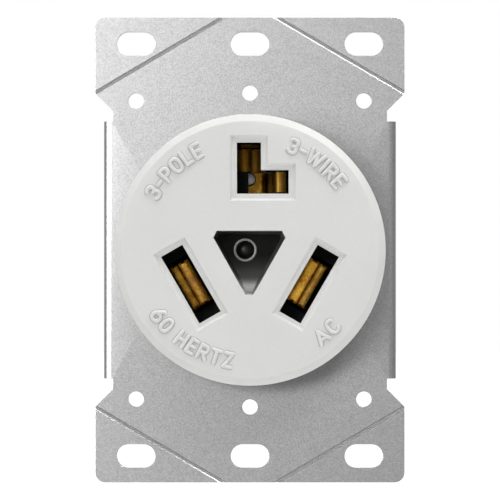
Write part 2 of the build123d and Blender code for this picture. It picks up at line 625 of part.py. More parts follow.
def make_set_screw(angle):
    """Wire clamping screw, backed off, with a chamfered end and a driver slot."""
    bar = upright_bar(SET_SCREW_R, SET_SCREW_INNER_Z, SET_SCREW_OUTER_Z, SET_SCREW_Y)
    bar = chamfer(bar.edges().filter_by(GeomType.CIRCLE), SCREW_END_CHAMFER)
    slot_z = SET_SCREW_OUTER_Z - SCREW_SLOT_DEPTH / 2
    slot = Pos(0, SET_SCREW_Y, slot_z) * Box(3 * SET_SCREW_R, SCREW_SLOT_WIDTH, SCREW_SLOT_DEPTH)
    return turned(bar - slot, angle)


def make_centre_rivet():
    """Tubular rivet: rolled eyelet in the window, hollow nose, shank and a low rear head."""
    bead_r = EYELET_R - EYELET_BEAD_R
    front = WELL_FLOOR_Y - EYELET_BEAD_R
    half = [
        (0, WELL_FLOOR_Y + EYELET_HOLLOW_DEPTH),
        (EYELET_HOLLOW_R, WELL_FLOOR_Y + EYELET_HOLLOW_DEPTH - EYELET_FLOOR_RISE),
        (EYELET_HOLLOW_R, front),
        (bead_r, front),
        (bead_r, WELL_FLOOR_Y),
        (EYELET_SHANK_R, WELL_FLOOR_Y),
        (EYELET_SHANK_R, HUB_BACK_Y),
        (REAR_HEAD_R, HUB_BACK_Y),
        (REAR_HEAD_R - REAR_HEAD_BEVEL, HUB_BACK_Y + REAR_HEAD_THICK),
        (0, HUB_BACK_Y + REAR_HEAD_THICK),
    ]
    shank = revolve(Polygon(*half), Axis.Y)
    bead = revolve(Pos(bead_r, front) * Circle(EYELET_BEAD_R), Axis.Y)
    return Pos(RIVET_X, 0, 0) * (shank + bead)


def make_assembly_screw(angle):
    """Pan-head screw from behind through the housing into a boss of the face."""
    shank = front_disc(ASSEMBLY_SHANK_R, ASSEMBLY_TIP_Y, ASSEMBLY_SEAT_Y, 0, ASSEMBLY_RADIUS)
    shank = chamfer(shank.edges().group_by(Axis.Y)[0], ASSEMBLY_TIP_CHAMFER)
    head_back = ASSEMBLY_SEAT_Y + ASSEMBLY_HEAD_THICK
    head = front_disc(ASSEMBLY_HEAD_R, ASSEMBLY_SEAT_Y, head_back, 0, ASSEMBLY_RADIUS)
    head = fillet(head.edges().group_by(Axis.Y)[-1], ASSEMBLY_HEAD_EDGE_R)
    arm = RECESS_ARM
    half = RECESS_HALF_WIDTH
    floor = head_back - RECESS_DEPTH
    middle = ASSEMBLY_RADIUS
    cross = [
        front_block(-arm, arm, middle - half, middle + half, floor, head_back),
        front_block(-half, half, middle - arm, middle + arm, floor, head_back),
    ]
    return turned((shank + head) - cross, angle)


def make_parts():
    """Every sub-part by its node name, in place."""
    left = THIRD_TURN
    right = -THIRD_TURN
    line_tab = CONTACT_BACK_Y + SPRING_THICK
    neutral_tab = CONTACT_BACK_Y
    parts = {
        "mounting_strap": make_strap(),
        "face_cover": make_face(),
        "front_insulator": make_insulator(),
        "base_body": make_base(),
        "centre_rivet": make_centre_rivet(),
        "line_contact_left": make_line_contact(LEFT_SEAM_SHIFT, left),
        "line_contact_right": make_line_contact(RIGHT_SEAM_SHIFT, right),
        "neutral_contact": make_neutral_contact(),
        "contact_spring_left": make_line_spring(LEFT_SEAM_SHIFT, left),
        "contact_spring_right": make_line_spring(RIGHT_SEAM_SHIFT, right),
        "contact_spring_neutral": make_neutral_spring(),
        "terminal_lug_left": make_lug(left, line_tab, LINE_RIVET),
        "terminal_lug_right": make_lug(right, line_tab, LINE_RIVET),
        "terminal_lug_neutral": make_lug(0, neutral_tab, NEUTRAL_RIVET),
        "contact_rivet_left": make_contact_rivet(left, line_tab, LINE_RIVET),
        "contact_rivet_right": make_contact_rivet(right, line_tab, LINE_RIVET),
        "contact_rivet_neutral": make_contact_rivet(0, neutral_tab, NEUTRAL_RIVET),
        "terminal_screw_left": make_set_screw(left),
        "terminal_screw_right": make_set_screw(right),
        "terminal_screw_neutral": make_set_screw(0),
    }
    for place, angle in ASSEMBLY_ANGLES.items():
        parts["assembly_screw_" + place] = make_assembly_screw(angle)
    return parts


os.makedirs("parts", exist_ok=True)
for name, solid in make_parts().items():
    export_step(solid, "parts/" + name + ".step")
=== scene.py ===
import math
from collections import namedtuple

import bmesh
import bpy
import numpy as np
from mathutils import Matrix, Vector


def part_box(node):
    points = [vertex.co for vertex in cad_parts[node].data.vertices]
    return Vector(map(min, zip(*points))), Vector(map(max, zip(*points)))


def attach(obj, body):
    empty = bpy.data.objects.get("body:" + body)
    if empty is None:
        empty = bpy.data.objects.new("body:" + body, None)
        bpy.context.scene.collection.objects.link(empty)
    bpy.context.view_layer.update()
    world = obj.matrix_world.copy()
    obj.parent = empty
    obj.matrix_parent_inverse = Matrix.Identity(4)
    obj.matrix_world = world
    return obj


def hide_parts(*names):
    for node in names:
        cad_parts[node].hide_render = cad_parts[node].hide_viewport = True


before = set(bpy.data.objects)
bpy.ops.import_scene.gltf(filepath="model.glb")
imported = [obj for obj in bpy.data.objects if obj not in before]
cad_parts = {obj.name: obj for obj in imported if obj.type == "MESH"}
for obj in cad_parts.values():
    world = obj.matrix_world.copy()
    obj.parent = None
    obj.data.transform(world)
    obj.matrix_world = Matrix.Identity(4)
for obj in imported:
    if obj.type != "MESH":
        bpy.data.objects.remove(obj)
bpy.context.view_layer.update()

# The receptacle stands in its own frame: X right, Y back into the wall, Z up.
# Sizes are in millimetres and are turned into metres by MM where a mesh is made.

MM = 0.001
MERGE_DISTANCE = 2e-6
BODY = "root"

# Face and its raised lettering: each word has the angle of its middle, and 1 or -1 for the way it reads
FACE_FRONT_Y = -10.7
LETTER_RADIUS = 22.3
LETTER_HEIGHT = 2.7
LETTER_STROKE = 0.8
LETTER_RELIEF = 0.45
# LETTER_FOOT is the width of a thin skirt round each stroke, which carries the letters' painted shadow line
LETTER_FOOT = 0.13
LETTER_SINK = 0.06
LETTER_SPACE = 1.02
LETTER_STEP = 0.3
LETTER_SQUARENESS = 0.8
TOP_FALL = 0.03
NEXT_STROKE_FALL = 0.05
LETTERING = (
    ("3-POLE", 134.0, 1),
    ("3-WIRE", 52.5, 1),
    ("60 HERTZ", 237.0, -1),
    ("AC", 313.0, -1),
)

# Contacts, on the same section as their solids: a line contact's shift and turn, and a rivet's turn,
# place and tail radius
BRASS_THICK = 0.7
LINE_SLOT_RADIUS = 13.58
LEAF_HALF_LENGTH = 4.8
LEAF_CORNER_R = 1.4
LEAF_FRONT_Y = -5.15
LEAF_FOLD_R = 0.38
FOLD_STEPS = 7
LEAF_ROWS = 13
LEAF_BACK = ((2.7, 8.85), (2.9, 4.5), (0.52, -2.2))
NARROW_LIP = ((0.45, -4.8), (1.3, -4.8), (1.35, -3.8))
WIDE_LIP = ((0.45, -4.8), (1.55, -4.8), (1.98, -4.2), (2.0, -3.3))
THIRD_TURN = 120.0
LINE_CONTACTS = {"left": (0.55, THIRD_TURN), "right": (-0.08, -THIRD_TURN)}
CONTACT_RIVETS = {
    "neutral": (0.0, (-0.27, 14.55), 1.03),
    "left": (THIRD_TURN, (0.0, 13.8), 1.44),
    "right": (-THIRD_TURN, (0.0, 13.8), 1.44),
}
STUD_HEAD_R = 1.48
STUD_HEAD_HEIGHT = 0.7
STUD_SHANK_R = 1.0
STUD_EDGE_R = 0.3
NEUTRAL_SPLIT_Z = 15.8

# Window well and centre rivet: the window's corners are given in X and Z
WINDOW = ((-0.89, -8.95), (0.65, -8.95), (7.03, 2.4), (6.38, 3.8), (-6.62, 3.8), (-7.27, 2.4))
WELL_TIP_RISE = 1.75
WELL_TIP_TOP = -3.0
WELL_TIP_LENGTH = 5.95
WELL_FLOOR_Y = -3.6
WELL_WALL_TOP_Y = -8.1
WELL_HOLE_R = 1.95
WELL_TAPER = 12.0
WELL_SKIN_INSET = -0.26
WELL_LOW_Z = -9.0
OUTLINE_POINTS = 120
FLOOR_ROWS = 40
WALL_ROWS = 12
RIVET_X = -0.95
RIM_R = 2.1
RIM_HALF_WIDTH = 0.25
RIM_HALF_HEIGHT = 0.16
RIM_SQUARENESS = 0.55
BORE_FLOOR_R = 1.3
FLOOR_DOME_R = 2.2
REAR_HEAD_Y = 21.0

# Terminal screws: the driver slot has a width and a depth
SET_SCREW_R = 2.9
SET_SCREW_Y = 14.6
SET_SCREW_ENDS = (22.0, 28.0)
THREAD_PITCH = 0.8
THREAD_DEPTH = 0.4
THREAD_STEPS = 48
DRIVER_SLOT = (0.9, 1.4)
TERMINALS = {"neutral": 0.0, "left": THIRD_TURN, "right": -THIRD_TURN}

# Strap
STRAP_FRONT_Y = -1.2
EAR_START_Z = 30.0

# Rounded edges of the moulded and pressed pieces
EDGE_SEGMENTS = 2
EDGE_ANGLE = 28.0

# Finishes: colour stops along the grain's mask, bump depths in metres, and the white moulding's three tones
PLASTIC_STOPS = (0.3, 0.5, 0.72)
METAL_STOPS = (0.34, 0.5, 0.66)
PLASTIC_BUMP = 0.04 * MM
METAL_BUMP = 0.03 * MM
ZINC_BUMP = 0.02 * MM
GROOVE_TONE = 3.2
NYLON = ((0.672, 0.672, 0.657), (0.69, 0.69, 0.675), (0.708, 0.708, 0.693))

# Camera, stage and lamps: each lamp has a name, a place and a size in metres, and a power in watts
CAMERA_DISTANCE = 523.0
FRAME_WIDTH = 101.05
SENSOR_WIDTH = 36.0
FLOOR_Z = -120.0
FLOOR_HALF = 2500.0
FLOOR_GLOW = 1.2
FLOOR_WHITE_SHARE = 0.8
AMBIENT = 0.65
MAIN_LAMPS = (
    ("top_light", (0.0, -0.2, 0.85), (0.9, 0.5), 6.5),
)
METAL_CARDS = (
    ("left_card", (-0.594, -0.912, 0.159), (0.3, 0.3), 24.0),
    ("far_left_card", (-0.867, -0.677, 0.0), (0.3, 0.3), 41.0),
    ("high_right_card", (0.494, -0.482, 0.856), (0.3, 0.3), 78.0),
    ("upper_left_card", (-0.291, -1.02, 0.291), (0.3, 0.3), 4.5),
    ("high_card", (0.0, -0.707, 0.843), (0.5, 0.5), 8.0),
)


def grid_faces(rows, cols):
    """Quads over a grid of points numbered row by row, where each row closes on itself."""
    i, j = np.meshgrid(np.arange(rows - 1), np.arange(cols), indexing="ij")
    this_row = i * cols
    next_row = this_row + cols
    next_j = (j + 1) % cols
    quads = np.stack([this_row + j, this_row + next_j, next_row + next_j, next_row + j], axis=-1)
    return quads.reshape(-1, 4)


def joined(surfaces):
    """Several (points, faces) surfaces as one list of points and one of faces."""
    points = []
    faces = []
    start = 0
    for surface_points, surface_faces in surfaces:
        flat = np.asarray(surface_points, float).reshape(-1, 3)
        points.append(flat)
        faces.extend((np.asarray(surface_faces) + start).tolist())
        start += len(flat)
    return np.concatenate(points), faces


def turned(points, angle):
    """Points turned about the Y axis, anticlockwise as seen from the front, by an angle in degrees."""
    a = math.radians(angle)
    out = np.array(points, float)
    x = out[..., 0].copy()
    z = out[..., 2].copy()
    out[..., 0] = x * math.cos(a) - z * math.sin(a)
    out[..., 2] = x * math.sin(a) + z * math.cos(a)
    return out


def new_piece(name, surfaces, material, smooth_angle):
    """A mesh piece from surfaces in millimetres: doubles merged, normals outward, riding on the body."""
    points, faces = joined(surfaces)
    mesh = bpy.data.meshes.new(name)
    mesh.from_pydata((points * MM).tolist(), [], faces)
    tidy_mesh(mesh)
    shade(mesh, smooth_angle)
    piece = bpy.data.objects.new(name, mesh)
    bpy.context.scene.collection.objects.link(piece)
    mesh.materials.append(material)
    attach(piece, BODY)
    return piece


def tidy_mesh(mesh):
    """Merge doubled points, drop collapsed faces and turn every face outwards."""
    bm = bmesh.new()
    bm.from_mesh(mesh)
    bmesh.ops.remove_doubles(bm, verts=bm.verts, dist=MERGE_DISTANCE)
    bmesh.ops.dissolve_degenerate(bm, dist=MERGE_DISTANCE / 4, edges=bm.edges)
    bmesh.ops.recalc_face_normals(bm, faces=bm.faces)
    bm.to_mesh(mesh)
    bm.free()


def shade(mesh, angle):
    """Smooth shading, with edges sharper than an angle kept crisp."""
    mesh.shade_smooth()
    mesh.set_sharp_from_angle(angle=math.radians(angle))


def rounded_copy(node, name, edge_radius, material):
    """A node's own solid with its doubles merged and every sharp edge rounded by a small radius."""
    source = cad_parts[node]
    mesh = source.data.copy()
    mesh.name = name
    bm = bmesh.new()
    bm.from_mesh(mesh)
    bmesh.ops.remove_doubles(bm, verts=bm.verts, dist=MERGE_DISTANCE)
    bm.to_mesh(mesh)
    bm.free()
    mesh.materials.clear()
    mesh.materials.append(material)
    if "custom_normal" in mesh.attributes:
        mesh.attributes.remove(mesh.attributes["custom_normal"])
    mesh.shade_smooth()
    piece = bpy.data.objects.new(name, mesh)
    bpy.context.scene.collection.objects.link(piece)
    bevel = piece.modifiers.new("rounded_edges", "BEVEL")
    bevel.width = edge_radius * MM
    bevel.segments = EDGE_SEGMENTS
    bevel.limit_method = "ANGLE"
    bevel.angle_limit = math.radians(EDGE_ANGLE)
    bevel.harden_normals = True
    bevel.use_clamp_overlap = True
    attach(piece, BODY)
    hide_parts(node)


def lathe(profile, steps, centre):
    """A surface of revolution about a line along Y, through a centre given in X and Z.

    Each (r, depth) of the profile becomes the circle x = cx + r * cos(a), y = depth, z = cz + r * sin(a)."""
    profile = np.asarray(profile, float)
    turn = np.linspace(0, 2 * math.pi, steps, endpoint=False)
    radius = profile[:, 0][:, None]
    depth = np.broadcast_to(profile[:, 1][:, None], (len(profile), steps))
    x = centre[0] + radius * np.cos(turn)
    z = centre[1] + radius * np.sin(turn)
    return np.stack([x, depth, z], axis=-1), grid_faces(len(profile), steps)


def arc_points(centre, radius, start, end, steps):
    """Points on a circular arc between two angles in degrees."""
    angle = np.radians(np.linspace(start, end, steps))
    return np.stack([centre[0] + radius * np.cos(angle), centre[1] + radius * np.sin(angle)], axis=-1)


def squared_off(values, power):
    """Sines or cosines pushed outwards by a power under one, which turns a circle into a squared-off oval."""
    return np.sign(values) * np.abs(values) ** power


def rounded_path(corners, radius):
    """Straight runs joined by arcs: the arc at each inner corner touches both of its runs."""
    corners = [np.array(c, float) for c in corners]
    path = [corners[0][None]]
    for before, corner, after in zip(corners, corners[1:], corners[2:]):
        back = (before - corner) / np.linalg.norm(before - corner)
        ahead = (after - corner) / np.linalg.norm(after - corner)
        half = 0.5 * math.acos(np.clip(back @ ahead, -1, 1))
        tangent = radius / math.tan(half)
        middle = corner + (back + ahead) / np.linalg.norm(back + ahead) * radius / math.sin(half)
        first = corner + back * tangent - middle
        last = corner + ahead * tangent - middle
        start = math.atan2(first[1], first[0])
        sweep = math.atan2(first[0] * last[1] - first[1] * last[0], first @ last)
        path.append(arc_points(middle, radius, math.degrees(start), math.degrees(start + sweep), FOLD_STEPS))
    path.append(corners[-1][None])
    return np.concatenate(path)


def spaced(path, step):
    """The same path with points added so that no run is longer than a step."""
    lengths = np.linalg.norm(np.diff(path, axis=0), axis=1)
    along = np.concatenate([[0], np.cumsum(lengths)])
    extra = np.arange(0, along[-1], step)
    stations = np.unique(np.round(np.concatenate([along, extra]), 5))
    return np.stack([np.interp(stations, along, path[:, k]) for k in range(path.shape[1])], axis=-1)


def side_normals(path):
    """Unit normals on the left of a plane path, from the difference of its neighbours."""
    along = np.gradient(path, axis=0)
    along /= np.linalg.norm(along, axis=1)[:, None] + 1e-12
    return np.stack([-along[:, 1], along[:, 0]], axis=-1)


def folded_strip(path, thickness, half_width):
    """A strip of sheet: the path offset by its normal times half the thickness each way, carried across.

    Across runs from -w to w, where w is half_width of the path's points, so the strip's ends can be rounded.
    Returns across, section-x and section-y coordinates as one grid whose rows close round the section."""
    normals = side_normals(path)
    upper = path + normals * thickness / 2
    lower = path - normals * thickness / 2
    loop = np.concatenate([upper, lower[::-1]])
    width = half_width(np.concatenate([path, path[::-1]]))
    share = np.linspace(-1, 1, LEAF_ROWS)
    across = share[:, None] * width[None, :]
    section = np.broadcast_to(loop[None], (LEAF_ROWS, len(loop), 2))
    grid = np.concatenate([across[..., None], section], axis=-1)
    faces = [grid_faces(LEAF_ROWS, len(loop))]
    count = len(path)
    k = np.arange(count - 1)
    last = (LEAF_ROWS - 1) * len(loop)
    for base in (0, last):
        across_end = [base + k, base + k + 1, base + 2 * count - 2 - k, base + 2 * count - 1 - k]
        faces.append(np.stack(across_end, axis=-1))
    return grid, np.concatenate(faces)


def new_tree_node(tree, kind, **values):
    """Add a shader node, set its plain properties and its unlinked input values."""
    node = tree.nodes.new(kind)
    for key, value in values.items():
        if key.startswith("in_"):
            node.inputs[key[3:]].default_value = value
        else:
            setattr(node, key, value)
    return node


def ramp(tree, source, stops):
    """A colour ramp with given (position, colour) stops, fed by a socket."""
    node = tree.nodes.new("ShaderNodeValToRGB")
    elements = node.color_ramp.elements
    while len(elements) < len(stops):
        elements.new(0.5)
    for element, (position, colour) in zip(elements, stops):
        element.position = position
        element.color = (*colour, 1.0)
    tree.links.new(source, node.inputs["Fac"])
    return node.outputs["Color"]


def mapped_range(tree, source, low, high, to_low, to_high):
    """Map a value from one range to another, clamped."""
    node = tree.nodes.new("ShaderNodeMapRange")
    node.inputs["From Min"].default_value = low
    node.inputs["From Max"].default_value = high
    node.inputs["To Min"].default_value = to_low
    node.inputs["To Max"].default_value = to_high
    tree.links.new(source, node.inputs["Value"])
    return node.outputs["Result"]


def grain_group():
    """Shared surface grain: fine and coarse noise of a chosen size, as a mask and a height."""
    group = bpy.data.node_groups.new("surface_grain", "ShaderNodeTree")
    group.interface.new_socket("Vector", in_out="INPUT", socket_type="NodeSocketVector")
    for name, value in (("Fine Scale", 900.0), ("Coarse Scale", 60.0), ("Coarse Share", 0.4)):
        socket = group.interface.new_socket(name, in_out="INPUT", socket_type="NodeSocketFloat")
        socket.default_value = value
    group.interface.new_socket("Mask", in_out="OUTPUT", socket_type="NodeSocketFloat")
    group.interface.new_socket("Height", in_out="OUTPUT", socket_type="NodeSocketFloat")
    enter = group.nodes.new("NodeGroupInput")
    leave = group.nodes.new("NodeGroupOutput")
    fine = new_tree_node(group, "ShaderNodeTexNoise", in_Detail=3.0, in_Roughness=0.6)
    coarse = new_tree_node(group, "ShaderNodeTexNoise", in_Detail=4.0, in_Roughness=0.55)
    mix = new_tree_node(group, "ShaderNodeMix", data_type="FLOAT")
    link = group.links.new
    link(enter.outputs["Vector"], fine.inputs["Vector"])
    link(enter.outputs["Vector"], coarse.inputs["Vector"])
    link(enter.outputs["Fine Scale"], fine.inputs["Scale"])
    link(enter.outputs["Coarse Scale"], coarse.inputs["Scale"])
    link(enter.outputs["Coarse Share"], mix.inputs[0])
    link(fine.outputs["Fac"], mix.inputs[2])
    link(coarse.outputs["Fac"], mix.inputs[3])
    link(mix.outputs[0], leave.inputs["Mask"])
    link(fine.outputs["Fac"], leave.inputs["Height"])
    return group


def spangle_group():
    """Shared zinc spangle: small crystal cells, each with its own brightness, broken up by fine noise."""
    group = bpy.data.node_groups.new("zinc_spangle", "ShaderNodeTree")
    group.interface.new_socket("Vector", in_out="INPUT", socket_type="NodeSocketVector")
    size = group.interface.new_socket("Cell Scale", in_out="INPUT", socket_type="NodeSocketFloat")
    size.default_value = 1800.0
    group.interface.new_socket("Mask", in_out="OUTPUT", socket_type="NodeSocketFloat")
    group.interface.new_socket("Height", in_out="OUTPUT", socket_type="NodeSocketFloat")
    enter = group.nodes.new("NodeGroupInput")
    leave = group.nodes.new("NodeGroupOutput")
    cells = new_tree_node(group, "ShaderNodeTexVoronoi", in_Randomness=1.0)
    fine = new_tree_node(group, "ShaderNodeTexNoise", in_Detail=4.0, in_Roughness=0.7)
    grey = group.nodes.new("ShaderNodeRGBToBW")
    mix = new_tree_node(group, "ShaderNodeMix", data_type="FLOAT")
    mix.inputs[0].default_value = 0.55
    link = group.links.new
    link(enter.outputs["Vector"], cells.inputs["Vector"])
    link(enter.outputs["Vector"], fine.inputs["Vector"])
    link(enter.outputs["Cell Scale"], cells.inputs["Scale"])
    link(enter.outputs["Cell Scale"], fine.inputs["Scale"])
    link(cells.outputs["Color"], grey.inputs["Color"])
    link(grey.outputs["Val"], mix.inputs[2])
    link(fine.outputs["Fac"], mix.inputs[3])
    link(mix.outputs[0], leave.inputs["Mask"])
    link(fine.outputs["Fac"], leave.inputs["Height"])
    return group


GRAIN = grain_group()
SPANGLE = spangle_group()


def start_material(name, **shader_values):
    """A material with its Principled shader, whose constants sit on the shader's own sockets."""
    material = bpy.data.materials.new(name)
    material.use_nodes = True
    tree = material.node_tree
    shader = tree.nodes["Principled BSDF"]
    for key, value in shader_values.items():
        shader.inputs[key.replace("_", " ")].default_value = value
    return material, tree, shader


def place_group(tree, group, vector, **values):
    """Place a shared group in a material with its own values."""
    node = tree.nodes.new("ShaderNodeGroup")
    node.node_tree = group
    for key, value in values.items():
        node.inputs[key.replace("_", " ")].default_value = value
    tree.links.new(vector, node.inputs["Vector"])
    return node


def add_bump(tree, shader, height, strength, distance):
    """Feed the shader's normal from a height."""
    bump = new_tree_node(tree, "ShaderNodeBump", in_Strength=strength, in_Distance=distance)
    tree.links.new(height, bump.inputs["Height"])
    tree.links.new(bump.outputs["Normal"], shader.inputs["Normal"])


def object_coordinates(tree):
    """The Object output of a Texture Coordinate node."""
    return tree.nodes.new("ShaderNodeTexCoord").outputs["Object"]


def object_place(tree):
    """The object's own coordinates as separate X, Y and Z."""
    parts = tree.nodes.new("ShaderNodeSeparateXYZ")
    tree.links.new(object_coordinates(tree), parts.inputs["Vector"])
    return parts.outputs


def between(tree, source, low, high, to_low, to_high):
    """A place between two levels, given in millimetres, mapped from one value to another."""
    return mapped_range(tree, source, low * MM, high * MM, to_low, to_high)


def greys(*stops):
    """Colour stops from pairs of position and grey level."""
    return tuple((position, (level, level, level)) for position, level in stops)


def product(tree, first, second):
    """Two values multiplied."""
    node = new_tree_node(tree, "ShaderNodeMath", operation="MULTIPLY")
    tree.links.new(first, node.inputs[0])
    tree.links.new(second, node.inputs[1])
    return node.outputs[0]


def tinted(tree, colour, tone):
    """A colour multiplied by another colour or by a value."""
    mix = new_tree_node(tree, "ShaderNodeMix", data_type="RGBA", blend_type="MULTIPLY")
    mix.inputs[0].default_value = 1.0
    tree.links.new(colour, mix.inputs[6])
    tree.links.new(tone, mix.inputs[7])
    return mix.outputs[2]


def blended(tree, share, first, second=None):
    """One colour turning into a second, or into white, by a share from 0 to 1."""
    mix = new_tree_node(tree, "ShaderNodeMix", data_type="RGBA")
    mix.inputs[7].default_value = (1.0, 1.0, 1.0, 1.0)
    tree.links.new(share, mix.inputs[0])
    tree.links.new(first, mix.inputs[6])
    if second is not None:
        tree.links.new(second, mix.inputs[7])
    return mix.outputs[2]


def grain_sizes(fine, coarse):
    """Values for the shared grain, with its fine and coarse noise in equal shares."""
    return {"Fine_Scale": fine, "Coarse_Scale": coarse, "Coarse_Share": 0.5}


Finish = namedtuple("Finish", "material tree shader plain")


def grained(name, grain_values, stops, gloss, bump, **shader_values):
    """A finish with the shared grain: colour stops, a range of roughness, and a bump's strength and depth."""
    material, tree, shader = start_material(name, **shader_values)
    grain = place_group(tree, GRAIN, object_coordinates(tree), **grain_values)
    plain = ramp(tree, grain.outputs["Mask"], tuple(stops))
    tree.links.new(plain, shader.inputs["Base Color"])
    tree.links.new(mapped_range(tree, grain.outputs["Mask"], 0.3, 0.7, *gloss), shader.inputs["Roughness"])
    add_bump(tree, shader, grain.outputs["Height"], *bump)
    return Finish(material, tree, shader, plain)


def shaded(finish, tone):
    """A finish's material, with its plain colour multiplied by a tone that changes over the surface."""
    finish.tree.links.new(tinted(finish.tree, finish.plain, tone), finish.shader.inputs["Base Color"])
    return finish.material


def moulded_plastic(name, colours, roughness, bump_strength, level):
    """Moulded plastic: a slightly mottled colour, uneven gloss and a very fine grain."""
    gloss = (roughness - 0.06, roughness + 0.06)
    return grained(name, grain_sizes(1500.0, 70.0), zip(PLASTIC_STOPS, colours), gloss,
                   (bump_strength, PLASTIC_BUMP), Specular_IOR_Level=level)


def rolled_metal(name, colours, roughness, metallic=1.0):
    """Rolled or turned metal: dark specks and uneven gloss."""
    gloss = (roughness + 0.1, roughness - 0.06)
    return grained(name, grain_sizes(2600.0, 420.0), zip(METAL_STOPS, colours), gloss, (0.25, METAL_BUMP),
                   Metallic=metallic, Specular_IOR_Level=0.15)


def letter_plastic_painted_shadow():
    """The face's own plastic, with a painted shadow line at the foot of the letters."""
    finish = moulded_plastic("letter_nylon", NYLON, 0.5, 0.05, 0.04)
    depth = object_place(finish.tree)["Y"]
    return shaded(finish, between(finish.tree, depth, FACE_FRONT_Y - 0.12, FACE_FRONT_Y - 0.04, 1.0, 0.62))


def galvanised_steel():
    """Zinc-coated sheet: a small spangle in colour and gloss, and a paler matt zinc in the ears' grooves."""
    material, tree, shader = start_material("galvanised_steel", Specular_IOR_Level=0.0)
    vector = object_coordinates(tree)
    place = object_place(tree)
    spangle = place_group(tree, SPANGLE, vector, Cell_Scale=5200.0)
    grain = place_group(tree, GRAIN, vector, Fine_Scale=7000.0, Coarse_Scale=300.0, Coarse_Share=0.12)
    mix = new_tree_node(tree, "ShaderNodeMix", data_type="FLOAT")
    mix.inputs[0].default_value = 0.45
    tree.links.new(spangle.outputs["Mask"], mix.inputs[2])
    tree.links.new(grain.outputs["Mask"], mix.inputs[3])
    zinc = ramp(tree, mix.outputs[0], greys((0.32, 0.105), (0.5, 0.14), (0.66, 0.18)))
    height = new_tree_node(tree, "ShaderNodeMath", operation="ABSOLUTE")
    tree.links.new(place["Z"], height.inputs[0])
    in_ear = between(tree, height.outputs[0], EAR_START_Z, EAR_START_Z + 0.5, 0.0, 1.0)
    going_in = between(tree, place["Y"], STRAP_FRONT_Y + 0.07, STRAP_FRONT_Y + 0.2, 0.0, 1.0)
    coming_out = between(tree, place["Y"], STRAP_FRONT_Y + 0.45, STRAP_FRONT_Y + 0.6, 1.0, 0.0)
    groove = product(tree, in_ear, product(tree, going_in, coming_out))
    tree.links.new(mapped_range(tree, groove, 0.0, 1.0, 1.0, 0.0), shader.inputs["Metallic"])
    paler = mapped_range(tree, groove, 0.0, 1.0, 1.0, GROOVE_TONE)
    tree.links.new(tinted(tree, zinc, paler), shader.inputs["Base Color"])
    gloss = mapped_range(tree, spangle.outputs["Mask"], 0.3, 0.7, 0.35, 0.38)
    tree.links.new(gloss, shader.inputs["Roughness"])
    add_bump(tree, shader, spangle.outputs["Height"], 0.1, ZINC_BUMP)
    return material


def leaf_brass(side, colours, painted_leaf_tones):
    """A line contact's brass: rolled metal whose inner and outer leaf get different tones, painted light and
    shade as the light falls on the pair.

    A point's reach is its distance from the centre along the contact's own upright, turned by its angle."""
    shift, angle = LINE_CONTACTS[side]
    finish = rolled_metal("line_brass_" + side, colours, 0.6, 0.15)
    tree = finish.tree
    reach = new_tree_node(tree, "ShaderNodeVectorMath", operation="DOT_PRODUCT")
    turn = math.radians(angle)
    reach.inputs[1].default_value = (-math.sin(turn), 0.0, math.cos(turn))
    tree.links.new(object_coordinates(tree), reach.inputs[0])
    seam = LINE_SLOT_RADIUS + shift
    return shaded(finish, between(tree, reach.outputs["Value"], seam - 0.1, seam + 0.1, *painted_leaf_tones))


def well_gloss():
    """The well's black skin: nearly matt, with a clear gloss that comes up towards the triangle's tip.

    The gloss fades again at the very tip."""
    colours = ((0.005, 0.005, 0.0036), (0.008, 0.008, 0.006), (0.012, 0.012, 0.009))
    finish = grained("well_gloss", grain_sizes(1500.0, 120.0), zip(PLASTIC_STOPS, colours), (0.3, 0.4),
                     (0.03, METAL_BUMP), Specular_IOR_Level=0.03, Coat_Roughness=0.28)
    tree = finish.tree
    up = between(tree, object_place(tree)["Z"], WELL_LOW_Z, -1.0, 0.0, 1.0)
    sheen = ramp(tree, up, greys((0.0, 0.12), (0.14, 0.75), (0.24, 0.9), (0.45, 0.4), (1.0, 0.0)))
    tree.links.new(sheen, finish.shader.inputs["Coat Weight"])
    return finish.material


def well_wall_painted_light():
    """The well's wall with painted light: paler on its right side, where the light falls, and palest round
    the tip of the triangle, a painted pool of light.
    """
    colours = ((0.7, 0.7, 0.66), (1.0, 1.0, 0.95), (1.3, 1.3, 1.24))
    finish = grained("well_wall_painted_light", grain_sizes(1500.0, 300.0), zip(PLASTIC_STOPS, colours), (0.4, 0.6),
                     (0.05, METAL_BUMP), Specular_IOR_Level=0.2)
    tree = finish.tree
    place = object_place(tree)
    up = between(tree, place["Z"], WELL_LOW_Z, 0.0, 0.0, 1.0)
    # Painted light: pale round the tip and near black higher up, and up to twice as pale on the right side
    tone = ramp(tree, up, greys((0.0, 0.5), (0.15, 0.22), (0.4, 0.06), (0.8, 0.03)))
    side = between(tree, place["X"], -2.0, 3.0, 1.0, 2.0)
    return shaded(finish, tinted(tree, tone, side))


